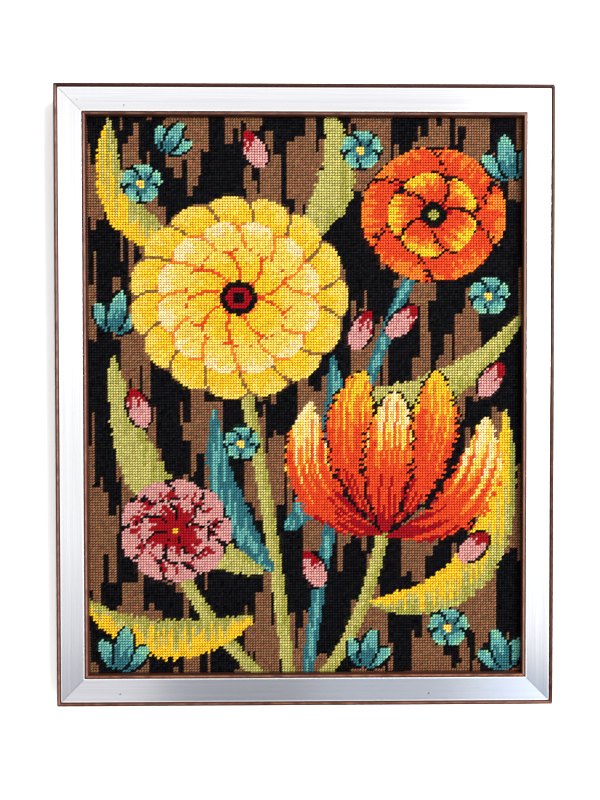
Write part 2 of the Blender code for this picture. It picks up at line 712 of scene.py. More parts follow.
@dataclass(frozen=True)
class CanvasFinish:
    """Stiff cotton canvas, plain on the back and printed with the design under the wool, with painted shade
    in its holes and between the stitches.
    """

    colour: Colour
    hole_shade_colour: Colour
    pitch: Point
    printed: bool = False
    slubs: float = 900.0  # in a metre
    wander: float = 0.15  # of the threads

    def material(self, name: str) -> Material:
        """Threads crossing over and under between square holes.

        Args:
            name: the material's name.

        Returns:
            The material.
        """
        sketch = Sketch(name)
        place = sketch.place((1 / self.pitch[0], 1.0, 1 / self.pitch[1]))
        weave = sketch.blend(0.5, *(sketch.wave(place, way, self.wander) for way in "XZ"))
        hole = sketch.spread(weave, (0.16, 0.4))
        slub = sketch.noise(sketch.place((self.slubs,) * 3), 3.0)
        # the holes are painted dark: painted shade in them
        cloth = sketch.blend(hole, self.hole_shade_colour, self.colour)
        cloth = sketch.tint(cloth, sketch.spread(slub, (0.3, 0.7), (0.85, 1.08)))
        if self.printed:
            # the print, darkened with painted shade between the stitches
            cloth = sketch.tint(cloth, sketch.read("canvas_print_and_shade", "Color"))
        sketch.set(Base_Color=cloth, Roughness=0.9, Specular_IOR_Level=0.06)
        sketch.bump(hole, 0.0002)
        sketch.bump(slub, 0.00005)
        return sketch.material


@dataclass(frozen=True)
class BarWearAndHighlight:
    """How far one bar is lighter along its crests, partly worn and partly a painted highlight: the least and
    most, and the wood laid bare there.
    """

    bead: Point
    lip: Point
    colour: Colour


@dataclass(frozen=True)
class TimberFinish:
    """Softwood stained dark and varnished, lighter along its crests: partly worn to a lighter brown, partly
    a painted highlight.
    """

    stain: Colour = linear(44, 18, 12)
    pores: Colour = linear(26, 10, 6)
    blotches: Colour = linear(127, 79, 64)
    grain_length: float = 7.0  # streaks in a metre along the bar
    grain_width: float = 520.0  # and across it
    scuffs: float = 90.0  # in a metre
    crests: Point = (0.0025, 0.0287)  # how far in from the bar's edge the bead and lip are worn and carry a painted highlight
    crest_reach: Point = (0.0009, 0.0002)  # distances from a crest where the worn look and painted highlight start and are full

    def material(self, name: str, upright: bool, wear_and_highlight: BarWearAndHighlight) -> Material:
        """Wood with its grain along the bar.

        Args:
            name: the material's name.
            upright: whether the bar runs up and down.
            wear_and_highlight: how the bar is worn along its crests, and its painted highlight there.

        Returns:
            The material.
        """
        sketch = Sketch(name)
        scale = lengthwise(self.grain_width, self.grain_length, upright)
        grain = sketch.noise(sketch.place(scale), 5.0, 0.6)
        blotch = sketch.noise(sketch.place(coarser(scale, 0.16)), 3.0)
        scuff = sketch.noise(sketch.place((self.scuffs,) * 3), 4.0)
        wood = sketch.blend(sketch.spread(grain, (0.35, 0.62)), self.pores, self.stain)
        wood = sketch.blend(sketch.spread(blotch, (0.35, 0.7), (0.0, 0.08)), wood, self.blotches)
        inward = sketch.read("inward", "Fac")
        # lighten the crests: partly worn wood, partly a painted highlight
        for crest, amounts in zip(self.crests, (wear_and_highlight.bead, wear_and_highlight.lip)):
            away = sketch.maths("ABSOLUTE", sketch.maths("SUBTRACT", inward, crest))
            rubbed_and_lit = sketch.spread(scuff, (0.35, 0.65), amounts)
            rubbed_and_lit = sketch.maths("MULTIPLY", sketch.spread(away, self.crest_reach), rubbed_and_lit)
            wood = sketch.blend(rubbed_and_lit, wood, wear_and_highlight.colour)
        sketch.set(Base_Color=wood, Roughness=sketch.spread(grain, (0.3, 0.7), (0.5, 0.34)))
        sketch.set(Specular_IOR_Level=0.05, Coat_Weight=0.12, Coat_Roughness=0.1)
        sketch.bump(grain, 0.00006)
        return sketch.material


@dataclass(frozen=True)
class AluminiumFinish:
    """Satin aluminium, brushed lengthwise, polished along its edges, which are also painted lighter as a
    glint.
    """

    metal: Colour = (0.87, 0.875, 0.89)
    streak: Colour = (0.78, 0.785, 0.81)
    # the edges' colour: polished metal, with a painted glint
    edge: Colour = (0.98, 0.98, 0.98)
    fleck: Colour = (0.25, 0.24, 0.23)
    flecks: float = 150.0  # how close the few dark flecks can lie, in a metre
    brush_length: float = 9.0  # strokes in a metre along the strip
    brush_width: float = 2600.0  # and across it

    def material(self, name: str, upright: bool) -> Material:
        """Metal with its brushing along the strip.

        Args:
            name: the material's name.
            upright: whether the strip runs up and down.

        Returns:
            The material.
        """
        sketch = Sketch(name)
        across = sketch.add("ShaderNodeCombineXYZ", {"X" if upright else "Z": 1.0})
        sketch.set(Anisotropic=0.9, Tangent=across.outputs[0])
        scale = lengthwise(self.brush_width, self.brush_length, upright)
        fine = sketch.noise(sketch.place(scale), 4.0, 0.7)
        broad = sketch.noise(sketch.place(coarser(scale, 0.12)), 3.0)
        fleck = sketch.noise(sketch.place((self.flecks,) * 3), 2.0)
        face = sketch.blend(sketch.spread(fine, (0.36, 0.6)), self.streak, self.metal)
        face = sketch.tint(face, sketch.spread(broad, (0.3, 0.7), (0.93, 1.04)))
        face = sketch.blend(sketch.spread(fleck, (0.765, 0.785)), face, self.fleck)
        # the edges are polished, and painted lighter and less metallic as a glint
        burnish_and_glint = sketch.read("burnish_and_glint", "Fac")
        sketch.set(Base_Color=sketch.blend(burnish_and_glint, face, self.edge))
        sketch.set(Metallic=sketch.spread(burnish_and_glint, (0.0, 1.0), (1.0, 0.6)))
        sketch.set(Roughness=sketch.spread(fine, (0.3, 0.7), (0.26, 0.17)))
        sketch.bump(fine, 0.000012)
        return sketch.material


# --- Meshes ----------------------------------------------------------------------------


def mesh_of(name: str, shape: Shape, smooth_under: float = 40.0) -> Mesh:
    """Turn a bmesh into a mesh with smooth shading and sharp creases.

    Args:
        name: the mesh's name.
        shape: the bmesh, which is freed.
        smooth_under: edges that turn less than this many degrees are smooth.

    Returns:
        The mesh.
    """
    mesh = bpy.data.meshes.new(name)
    shape.to_mesh(mesh)
    shape.free()
    mesh.shade_smooth()
    mesh.set_sharp_from_angle(angle=math.radians(smooth_under))
    return mesh


def placed(name: str, thing: bpy.types.ID, materials: Iterable[Material] = ()) -> Piece:
    """Put a mesh, a lamp or a camera in the scene.

    Args:
        name: the object's name.
        thing: what it holds.
        materials: what a mesh wears.

    Returns:
        The object.
    """
    for material in materials:
        thing.materials.append(material)
    holder = bpy.data.objects.new(name, thing)
    bpy.context.scene.collection.objects.link(holder)
    return holder


def finished(name: str, mesh: Mesh, materials: Iterable[Material]) -> Piece:
    """Put a mesh in the scene as a piece that rides on the panel.

    Args:
        name: the piece's name.
        mesh: its mesh, already in place.
        materials: what it wears.

    Returns:
        The piece's object.
    """
    piece = placed(name, mesh, materials)
    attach(piece, BODY)
    return piece


@dataclass
class Strand:
    """One short visible length of wool, as a small closed grain that many copies share.

    The grain lies along its own Z, from -1 to 1, with X across and Y out of the
    canvas. Its ends taper and dive into the canvas.
    """

    sides: int = 5
    end_height: float = 0.12  # height of its ends over the height of its crown
    shades: tuple[float, float, float, float] = (0.32, 0.45, 0.75, 1.2)  # painted shade and highlight as colour factors: end, foot, flank, crown
    flank_from: float = 0.3  # shares of the crown's height
    crown_from: float = 0.9
    points: Array = field(init=False)
    faces: Array = field(init=False)
    ends: Array = field(init=False)
    light: Array = field(init=False)

    def __post_init__(self) -> None:
        """Model the grain, and the painted shade and highlight of its points."""
        shape = bmesh.new()
        bmesh.ops.create_uvsphere(shape, u_segments=self.sides, v_segments=3, radius=1.0)
        bmesh.ops.triangulate(shape, faces=shape.faces)
        shape.verts.ensure_lookup_table()
        out, across, onward = np.array([vert.co for vert in shape.verts]).T
        self.faces = np.array([[vert.index for vert in face.verts] for face in shape.faces])
        shape.free()
        self.ends = np.abs(onward) > 0.9  # the poles
        lowest, highest = out[~self.ends].min(), out[~self.ends].max()
        rise = np.where(self.ends, self.end_height, (out - lowest) / (highest - lowest))
        self.points = np.stack([across / across.max(), rise, np.sign(onward)], axis=1)
        # painted shade and highlight: darker ends and feet, a lighter crown
        end, foot, flank, crown = self.shades
        side = np.select([rise > self.crown_from, rise > self.flank_from], [crown, flank], foot)
        self.light = np.where(self.ends, end, side)

    def copies(
        self, middle: Array, slant: Array, size: Sequence[Array], taper: float, outward: float
    ) -> Array:
        """The corner points of many copies of the grain.

        Args:
            middle: the middle of each strand's foot on the canvas, one row each.
            slant: the angle that each one climbs at, in radians.
            size: half of the lengths, half of the widths, and the heights over the canvas.
            taper: the length of the pointed ends.
            outward: -1 for the stitched face, 1 for the back.

        Returns:
            An array of copies by points by 3.
        """
        half_length, half_width, height = (measure[:, None] for measure in size)
        cos, sin = np.cos(slant)[:, None], np.sin(slant)[:, None]
        onward = self.points[:, 2] * np.where(self.ends, half_length, half_length - taper)
        aside = self.points[:, 0] * half_width
        x = middle[:, 0, None] + cos * onward + sin * aside
        y = middle[:, 1, None] + outward * (self.points[:, 1] * height)
        z = middle[:, 2, None] + sin * onward - cos * aside
        return np.stack([x, y, z], axis=-1)


@dataclass
class Canvas:
    """The canvas sheet behind the wool."""

    thickness: float = 0.0008
    print_light: float = 0.6  # the share of light that the print shows between the stitches
    wool_height: float = 0.0015  # from the canvas to the stitches' crowns
    lowest: Vector = field(default_factory=lambda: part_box("needlepoint_canvas")[0])
    highest: Vector = field(default_factory=lambda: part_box("needlepoint_canvas")[1])

    @property
    def front(self) -> float:
        """Where the canvas's front lies."""
        return self.lowest.y + self.wool_height

    @property
    def back(self) -> float:
        """Where its back lies."""
        return self.front + self.thickness

    @property
    def flat(self) -> Point:
        """The size that it was cut to."""
        return self.highest.x - self.lowest.x, self.highest.z - self.lowest.z

    def build(self, chart: Chart, pitch: Point) -> Piece:
        """Model the sheet and dress it.

        Args:
            chart: the design that its front is printed with.
            pitch: width and height of a stitch.

        Returns:
            The piece.
        """
        across, up = chart.columns // 2, chart.rows // 2
        middle = (self.lowest + self.highest) / 2
        middle.y = self.front
        shape = sheet_shape(self.flat, middle, 90.0, across, up)
        grown = bmesh.ops.extrude_face_region(shape, geom=shape.faces[:], use_keep_orig=True)["geom"]
        behind = [item for item in grown if isinstance(item, bmesh.types.BMVert)]
        bmesh.ops.translate(shape, vec=(0.0, self.thickness, 0.0), verts=behind)
        back = [item for item in grown if isinstance(item, bmesh.types.BMFace)]
        bmesh.ops.dissolve_faces(shape, faces=back)
        bmesh.ops.recalc_face_normals(shape, faces=shape.faces)
        for face in shape.faces:
            face.material_index = int(face.normal.y < -0.5)
        mesh = mesh_of("canvas_ground", shape)
        self.print_on(mesh, chart, pitch)
        plain = CanvasFinish(linear(206, 192, 160), linear(96, 82, 60), pitch)
        printed = CanvasFinish((0.8,) * 3, (0.45,) * 3, pitch, printed=True)
        worn = (plain.material("canvas_plain"), printed.material("canvas_printed"))
        piece = finished("canvas_ground", mesh, worn)
        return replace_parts(piece, "needlepoint_canvas")

    def print_on(self, mesh: Mesh, chart: Chart, pitch: Point) -> None:
        """Print each point of the canvas in the colour of the wool that covers it, darkened as painted shade
        between the stitches.

        Args:
            mesh: the sheet's mesh.
            chart: the design.
            pitch: width and height of a stitch.
        """
        light = np.array([self.print_light])
        finishes = [WOOL_FINISHES[wool] for wool in WOOLS]
        # each wool's colour with the painted shade of the gaps between stitches
        inks = [(*(finish.colour * finish.shaded(light)[0]), 1.0) for finish in finishes]
        middle = (self.lowest + self.highest) / 2
        codes = []
        for vert in mesh.vertices:
            across = chart.columns / 2 + (vert.co.x - middle.x) / pitch[0]
            codes.append(chart.code_at(across, chart.rows / 2 + (vert.co.z - middle.z) / pitch[1]))
        colours = mesh.color_attributes.new("canvas_print_and_shade", "FLOAT_COLOR", "POINT")
        colours.data.foreach_set("color", np.array(inks, np.float32)[codes].ravel())


def sheet_shape(size: Point, middle: Vector, turn: float, across: int = 1, up: int = 1) -> Shape:
    """A flat sheet.

    Args:
        size: its width and its other side.
        middle: where its middle lies.
        turn: degrees about X from lying face up.
        across: how many squares wide it is.
        up: how many squares its other side is.

    Returns:
        Its shape.
    """
    shape = bmesh.new()
    bmesh.ops.create_grid(shape, x_segments=across, y_segments=up, size=0.5)
    bmesh.ops.scale(shape, vec=(*size, 1.0), verts=shape.verts)
    stand = Matrix.Rotation(math.radians(turn), 3, "X")
    bmesh.ops.rotate(shape, cent=(0, 0, 0), matrix=stand, verts=shape.verts)
    bmesh.ops.translate(shape, vec=middle, verts=shape.verts)
    return shape


@dataclass
class Stitching:
    """The wool on both faces of the canvas, as the chart says."""

    chart: Chart
    canvas: Canvas
    opening: Point = (0.412, 0.528)  # the window of the frame
    hidden: int = 1  # stitches under the lip on each side
    half_width: float = 0.00098
    overshoot: float = 1.09  # a strand's length over the diagonal of its stitch
    taper: float = 0.00100
    shift: float = 0.00005  # how far strands lie out of place
    lean: float = 3.0  # degrees that they stray
    back_half_width: float = 0.00122
    back_height: float = 0.00068
    back_overshoot: float = 1.04
    back_shift: float = 0.00012
    back_lean: float = 2.0
    longest_run: int = 5  # stitches in one bar of the back
    largest_piece: int = 178_000  # triangles
    seed: int = 5
    strand: Strand = field(default_factory=Strand)
    random: np.random.Generator = field(init=False)

    def __post_init__(self) -> None:
        """Start the random draws."""
        self.random = np.random.default_rng(self.seed)

    @property
    def pitch(self) -> Point:
        """Width and height of a stitch."""
        columns, rows = self.chart.columns - 2 * self.hidden, self.chart.rows - 2 * self.hidden
        return self.opening[0] / columns, self.opening[1] / rows

    @property
    def corner(self) -> Point:
        """The lower left corner of the worked field."""
        wide, high = self.pitch
        return -(self.chart.columns / 2 * wide), CENTRE_HEIGHT - self.chart.rows / 2 * high

    def spread(self, count: int, share: float) -> Array:
        """Factors round 1 for the sizes of strands, within three times the share."""
        return 1 + share * np.clip(self.random.standard_normal(count), -3, 3)

    def stray(self, count: int, reach: float) -> Array:
        """Small distances or angles round 0."""
        return self.random.normal(0, reach, count)

    def front(self) -> tuple[Array, Array]:
        """Strands of the stitched face.

        Returns:
            The corner points of each strand, and the index of its wool.
        """
        wide, high = self.pitch
        row, column = (axis.ravel() for axis in np.indices(self.chart.cells.shape))
        count = len(row)
        x = self.corner[0] + (column + 0.5) * wide + self.stray(count, self.shift)
        z = self.corner[1] + (row + 0.5) * high + self.stray(count, self.shift)
        middle = np.stack([x, np.full(count, self.canvas.front), z], axis=1)
        slant = np.radians(STRAND_RISE + self.stray(count, self.lean))
        size = (
            math.hypot(wide, high) / 2 * self.overshoot * self.spread(count, 0.03),
            self.half_width * self.spread(count, 0.07),
            self.canvas.wool_height * np.minimum(self.spread(count, 0.06) - 0.03, 1.0),
        )
        return self.strand.copies(middle, slant, size, self.taper, -1.0), self.chart.cells.ravel()

    def runs(self) -> Array:
        """Bars of the back, each of one wool and no longer than the longest run.

        Returns:
            The first row, the row past the last, the column and the wool of each.
        """
        cells = self.chart.cells
        found = []
        for column in range(cells.shape[1]):
            starts = [0, *(np.flatnonzero(np.diff(cells[:, column])) + 1), cells.shape[0]]
            for first, after in zip(starts, starts[1:]):
                parts = math.ceil((after - first) / self.longest_run)
                cuts = np.linspace(first, after, parts + 1).round().astype(int)
                found += [(low, top, column, cells[first, column]) for low, top in zip(cuts, cuts[1:])]
        return np.array(found)

    def reverse(self) -> tuple[Array, Array]:
        """Bars of the back, where the wool passes from one row to the next.

        Returns:
            The corner points of each bar, and the index of its wool.
        """
        wide, high = self.pitch
        first, after, column, wool = self.runs().T
        count = len(first)
        x = self.corner[0] + (column + 1) * wide + self.stray(count, self.back_shift)
        x = np.minimum(x, self.corner[0] + self.chart.columns * wide)
        z = self.corner[1] + (first + after) / 2 * high
        middle = np.stack([x, np.full(count, self.canvas.back), z], axis=1)
        slant = np.radians(90 + self.stray(count, self.back_lean))
        size = (
            (after - first) * high / 2 * self.back_overshoot,
            self.back_half_width * self.spread(count, 0.08),
            self.back_height * self.spread(count, 0.04),
        )
        return self.strand.copies(middle, slant, size, self.taper, 1.0), wool

    def tints(self, count: int, finish: WoolFinish) -> Array:
        """A colour factor for each corner point of each strand of one wool: a random tint times the painted
        shade and highlight.

        Args:
            count: how many strands.
            finish: how far the wool strays.

        Returns:
            An array of strands by points by 4.
        """
        lightness = self.spread(count, finish.stray)[:, None]
        hue = self.random.normal(0, finish.drift, (count, 3))
        factor = np.clip(lightness + hue, 0.2, 1.9)
        # painted shade and highlight, by where each point lies on the grain
        tint = factor[:, None, :] * finish.shaded(self.strand.light)[None]
        return np.concatenate([tint, np.ones_like(tint[..., :1])], axis=-1)

    def piece(
        self, name: str, points: Array, tint: Array, at_back: Array, material: Material
    ) -> Piece:
        """Join strands of one wool into a piece.

        Args:
            name: the piece's name.
            points: the strands' corner points.
            tint: a colour factor for each of them, with painted shade and highlight.
            at_back: which strands lie on the back.
            material: the wool's material.

        Returns:
            The piece.
        """
        count, corners = points.shape[:2]
        triangles = self.strand.faces[None] + np.arange(count)[:, None, None] * corners
        triangles = np.where(at_back[:, None, None], triangles, triangles[:, :, ::-1])
        flat = points.reshape(-1, 3)
        mesh = bpy.data.meshes.new(name)
        mesh.from_pydata(flat, [], triangles.reshape(-1, 3), shade_flat=False)
        colours = mesh.color_attributes.new("wool_tint_and_shade", "FLOAT_COLOR", "POINT")
        colours.data.foreach_set("color", tint.astype(np.float32).ravel())
        low, high = flat[:, [0, 2]].min(axis=0), flat[:, [0, 2]].max(axis=0)
        share = (flat[:, [0, 2]] - low) / (high - low)
        share[:, 0] = (share[:, 0] + np.repeat(at_back, corners)) / 2  # the back beside the front
        loops = np.empty(len(mesh.loops), np.int32)
        mesh.loops.foreach_get("vertex_index", loops)
        flat_map = mesh.uv_layers.new(name="OFBake")
        flat_map.data.foreach_set("uv", share[loops].astype(np.float32).ravel())
        return finished(name, mesh, (material,))

    def build(self) -> list[Piece]:
        """Work every wool of the chart.

        Returns:
            The pieces, each of one wool.
        """
        front_points, front_wools = self.front()
        back_points, back_wools = self.reverse()
        points = np.concatenate([front_points, back_points])
        wools = np.concatenate([front_wools, back_wools])
        at_back = np.arange(len(wools)) >= len(front_wools)
        pieces = []
        for wool, finish in WOOL_FINISHES.items():
            mine = np.flatnonzero(wools == WOOLS.index(wool))
            mine = mine[np.argsort(points[mine, 0, 2], kind="stable")]
            material = finish.material(f"wool_{wool.value}")
            parts = math.ceil(len(mine) * len(self.strand.faces) / self.largest_piece)
            for number, part in enumerate(np.array_split(mine, parts), start=1):
                name = f"wool_{wool.value}_{number}" if parts > 1 else f"wool_{wool.value}"
                tint = self.tints(len(part), finish)
                pieces.append(self.piece(name, points[part], tint, at_back[part], material))
        return pieces


class Side(Enum):
    """The frame's sides, and how far the bottom one turns to lie there, in degrees."""

    BOTTOM = 0
    LEFT = 90
    TOP = 180
    RIGHT = 270

    @property
    def upright(self) -> bool:
        """Whether the side runs up and down."""
        return self in (Side.LEFT, Side.RIGHT)

    @property
    def word(self) -> str:
        """The side's name in the names of pieces."""
        return self.name.lower()


# The bars are lighter along their crests, partly worn and partly a painted highlight that differs by side as
# the light falls; the upright bars and the top one are greyer there
BAR_WEAR_AND_HIGHLIGHT = {
    Side.BOTTOM: BarWearAndHighlight(bead=(0.1, 0.6), lip=(0.25, 0.9), colour=linear(128, 82, 62)),
    Side.LEFT: BarWearAndHighlight(bead=(0.35, 1.0), lip=(0.5, 1.0), colour=linear(128, 89, 81)),
    Side.TOP: BarWearAndHighlight(bead=(0.0, 0.05), lip=(0.15, 0.65), colour=linear(118, 85, 74)),
    Side.RIGHT: BarWearAndHighlight(bead=(0.0, 0.25), lip=(0.75, 1.0), colour=linear(128, 95, 83)),
}


@dataclass
class FrameSide:
    """One mitred side of the frame: the wooden bar and the metal strip let into it.

    Widths are measured in from the outer edge, and rises out from the wall.
    """

    side: Side
    width: float = 0.030
    depth: float = 0.022
    bead_width: float = 0.004
    lip_width: float = 0.0035
    lip_rise: float = 0.0218
    bead_round: float = 0.00185
    lip_round: float = 0.00160
    channel_rise: float = 0.0200
    ledge: float = 0.006
    rebate_rise: float = 0.0160
    eased_edge: float = 0.0004
    gap: float = 0.0003
    metal_thickness: float = 0.0008
    metal_edge: float = 0.00012
    bright_edge: float = 0.0009  # over which the polish and painted glint fade from the strip's edges

    @property
    def spans(self) -> Point:
        """Half of the side's length, and its outer edge's distance from the middle."""
        half_width, half_height = (CAD_HIGH.x - CAD_LOW.x) / 2, (CAD_HIGH.z - CAD_LOW.z) / 2
        return (half_height, half_width) if self.side.upright else (half_width, half_height)

    def inward(self, place: Vector) -> float:
        """How far in from the side's outer edge a place lies.

        Args:
            place: a point of the side.

        Returns:
            The distance.
        """
        if self.side.upright:
            return CAD_HIGH.x - abs(place.x)
        return self.spans[1] - abs(place.z - CENTRE_HEIGHT)

    def section(self) -> list[Point]:
        """The wooden bar's section, before its edges are rounded.

        Returns:
            Its corners in order, as widths and rises.
        """
        lip_start, back_width = self.width - self.lip_width, self.width - self.ledge
        return [
            (0.0, 0.0),
            (0.0, self.depth),
            (self.bead_width, self.depth),
            (self.bead_width, self.channel_rise),
            (lip_start, self.channel_rise),
            (lip_start, self.lip_rise),
            (self.width, self.lip_rise),
            (self.width, self.rebate_rise),
            (back_width, self.rebate_rise),
            (back_width, 0.0),
        ]

    def strip_section(self) -> list[Point]:
        """The metal strip's section, with its face split where the polish and painted glint end.

        Returns:
            Its corners in order, as widths and rises.
        """
        outer, inner = self.bead_width + self.gap, self.width - self.lip_width - self.gap
        under = self.channel_rise + self.gap
        across = (outer, outer + self.bright_edge, inner - self.bright_edge, inner)
        return [(outer, under), *((place, under + self.metal_thickness) for place in across), (inner, under)]

    def drawn(self, section: Sequence[Point]) -> Shape:
        """An open tube of a section, along the bottom of the frame.

        Args:
            section: the corners, as widths and rises.

        Returns:
            The tube, a little longer than the side.
        """
        half_length, half_span = self.spans
        shape = bmesh.new()
        corners = [shape.verts.new((-half_length, -rise, inward - half_span)) for inward, rise in section]
        edges = [shape.edges.new(pair) for pair in zip(corners, corners[1:] + corners[:1])]
        grown = bmesh.ops.extrude_edge_only(shape, edges=edges)
        far = [item for item in grown["geom"] if isinstance(item, bmesh.types.BMVert)]
        bmesh.ops.translate(shape, vec=(2 * half_length, 0, 0), verts=far)
        return shape

    def rounded(self, shape: Shape, corners: Iterable[Point], size: float, steps: int) -> None:
        """Round the long edges at some corners of the section.

        Args:
            shape: the tube.
            corners: where they are, as widths and rises.
            size: how much of each face the rounding takes.
            steps: facets of the rounding.
        """
        half_span = self.spans[1]
        wanted = [Vector((-rise, inward - half_span)) for inward, rise in corners]
        edges = [
            edge
            for edge in shape.edges
            if abs(edge.verts[0].co.x - edge.verts[1].co.x) > self.width
            and any((edge.verts[0].co.yz - place).length < self.gap / 10 for place in wanted)
        ]
        bmesh.ops.bevel(
            shape, geom=edges, offset=size, segments=steps, affect="EDGES", profile=0.5, material=-1
        )

    def mitred(self, shape: Shape) -> Shape:
        """Cut both ends at 45 degrees, close them, and turn the side into place.

        Args:
            shape: the tube, along the bottom of the frame.

        Returns:
            The same shape.
        """
        half_length, half_span = self.spans
        setback = self.gap / 2 * math.sqrt(2)
        for end in (-1, 1):
            bmesh.ops.bisect_plane(
                shape,
                geom=[*shape.verts, *shape.edges, *shape.faces],
                plane_co=(end * (half_length - setback), 0, -half_span),
                plane_no=Vector((end, 0, 1)).normalized(),
                clear_outer=True,
            )
        bmesh.ops.holes_fill(shape, edges=[edge for edge in shape.edges if edge.is_boundary])
        bmesh.ops.recalc_face_normals(shape, faces=shape.faces)
        turn = Matrix.Rotation(math.radians(self.side.value), 3, "Y")
        bmesh.ops.rotate(shape, cent=(0, 0, 0), matrix=turn, verts=shape.verts)
        bmesh.ops.translate(shape, vec=(0, 0, CENTRE_HEIGHT), verts=shape.verts)
        return shape

    def dressed(self, name: str, mesh: Mesh, material: Material, node: str) -> Piece:
        """Finish a part of the side in place of a CAD node.

        Args:
            name: the piece's name.
            mesh: its mesh.
            material: what it wears.
            node: the node, without the side.

        Returns:
            The piece, with flat faces shaded flat and only the roundings bent.
        """
        piece = finished(name, mesh, (material,))
        piece.modifiers.new("flat_faces", "WEIGHTED_NORMAL").keep_sharp = True
        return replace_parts(piece, f"{node}_{self.side.word}")

    def build_bar(self, timber: Material) -> Piece:
        """The wooden bar.

        Args:
            timber: its material.

        Returns:
            The piece.
        """
        shape = self.drawn(self.section())
        bead = [(0.0, self.depth), (self.bead_width, self.depth)]
        lip = [(self.width - self.lip_width, self.lip_rise), (self.width, self.lip_rise)]
        eased = [(0.0, 0.0), (self.width, self.rebate_rise), (self.width - self.ledge, 0.0)]
        self.rounded(shape, bead, self.bead_round, 6)
        self.rounded(shape, lip, self.lip_round, 6)
        self.rounded(shape, eased, self.eased_edge, 2)
        shape = self.mitred(shape)
        inward = shape.verts.layers.float.new("inward")
        for vert in shape.verts:
            vert[inward] = self.inward(vert.co)
        name = f"bar_{self.side.word}"
        return self.dressed(name, mesh_of(name, shape), timber, "moulding")

    def build_strip(self, metal: Material) -> Piece:
        """The metal strip, its edges marked for polish and a painted glint.

        Args:
            metal: its material.

        Returns:
            The piece.
        """
        section = self.strip_section()
        shape = self.drawn(section)
        self.rounded(shape, (section[1], section[4]), self.metal_edge, 3)
        shape = self.mitred(shape)
        burnish_and_glint = shape.verts.layers.float.new("burnish_and_glint")
        middle = (section[0][0] + section[5][0]) / 2
        plain = section[3][0] - middle + self.metal_edge / 20
        for vert in shape.verts:
            vert[burnish_and_glint] = float(abs(self.inward(vert.co) - middle) > plain)
        name = f"strip_{self.side.word}"
        return self.dressed(name, mesh_of(name, shape, 60.0), metal, "metal_face")


@dataclass
class Frame:
    """The four mitred sides."""

    timber: TimberFinish = field(default_factory=TimberFinish)
    aluminium: AluminiumFinish = field(default_factory=AluminiumFinish)

    def build(self) -> tuple[list[Piece], list[Piece]]:
        """Make and dress every bar and strip.

        Returns:
            The wooden bars, and the metal strips.
        """
        bars, strips = [], []
        metals = {up: self.aluminium.material(f"aluminium_{up:d}", up) for up in (False, True)}
        for side in Side:
            maker = FrameSide(side)
            wood = self.timber.material(f"timber_{side.word}", side.upright, BAR_WEAR_AND_HIGHLIGHT[side])
            bars.append(maker.build_bar(wood))
            strips.append(maker.build_strip(metals[side.upright]))
        return bars, strips


# --- The studio ------------------------------------------------------------------------

# The room's light from low to high: the heights between which it changes, and what to
ROOM_LOW = (0.15, 0.14, 0.14)
ROOM_SHADES = (
    (-0.90, -0.60, (0.68, 0.67, 0.72)),
    (-0.42, -0.35, (0.92, 0.92, 0.95)),
    (-0.31, -0.21, (1.16, 1.16, 1.16)),
    (0.10, 0.30, (1.07, 1.06, 1.08)),
    (0.55, 0.85, (1.35, 1.33, 1.30)),
)


@dataclass(frozen=True)
class RoomBand:
    """An upright band of the room, low down, that is lit unlike the rest."""

    left: float  # its sides, as the X of the directions towards them
    right: float
    light: Colour


ROOM_BANDS = (
    RoomBand(-0.193, 0.035, (0.07, 0.08, 0.13)),  # a dark doorway
    RoomBand(0.035, 0.24, (0.26, 0.31, 0.40)),  # the shade beside it
)
BAND_FADE = 0.01  # half the width over which a band's sides blur
BAND_TOP = (-0.39, -0.33)  # the heights over which the bands end


@dataclass(frozen=True)
class RoomPatch:
    """A part of the room, round one direction, that is lit unlike the rest."""

    toward: Triple
    core: float  # distances between unit vectors: where it is full
    rim: float  # and where it ends
    light: Colour


ROOM_PATCHES = (
    RoomPatch((0.34, -0.80, -0.50), 0.06, 0.14, (0.20, 0.50, 0.90)),  # daylight low down
    RoomPatch((0.42, -0.87, -0.24), 0.14, 0.18, (1.5, 1.5, 1.55)),  # a window sill
    RoomPatch((-0.95, -0.31, 0.0), 0.40, 0.65, (0.15, 0.13, 0.12)),  # dark furniture
)


class RoomSketch(Sketch):
    """The room's light being made, with the same calls as a material."""

    def __init__(self, name: str) -> None:
        """Start a world with a Background shader.

        Args:
            name: the world's name.
        """
        self.world = bpy.data.worlds.new(name)
        self.world.use_nodes = True
        self.tree = self.world.node_tree
        self.shader = self.tree.nodes["Background"]
        self.direction = self.add("ShaderNodeTexCoord").outputs["Generated"]

    def measure(self, operation: str, other: Triple) -> Socket:
        """The dot product of each direction with another, or its distance from it."""
        inputs = {0: self.direction, 1: other}
        return self.add("ShaderNodeVectorMath", inputs, operation=operation).outputs["Value"]


def staged(name: str, shape: Shape, material: Material, camera_only: bool = True) -> Piece:
    """Put a shape in the scene as part of the studio.

    Args:
        name: its name.
        shape: the shape, which is freed.
        material: what it wears.
        camera_only: whether it is only seen, and neither lights nor shades the panel.

    Returns:
        The object.
    """
    thing = placed(name, mesh_of(name, shape), (material,))
    thing.visible_glossy = False
    thing.visible_diffuse = thing.visible_shadow = not camera_only
    return thing


def plain_paint(name: str, colour: Colour, roughness: float = 1.0, gloss: float = 0.0) -> Sketch:
    """A plain paint for the studio.

    Args:
        name: its name.
        colour: its colour.
        roughness: from 0 for a mirror to 1 for chalk.
        gloss: how much it shines.

    Returns:
        The paint as a material being made.
    """
    sketch = Sketch(name)
    sketch.set(Base_Color=colour, Roughness=roughness, Specular_IOR_Level=gloss)
    return sketch


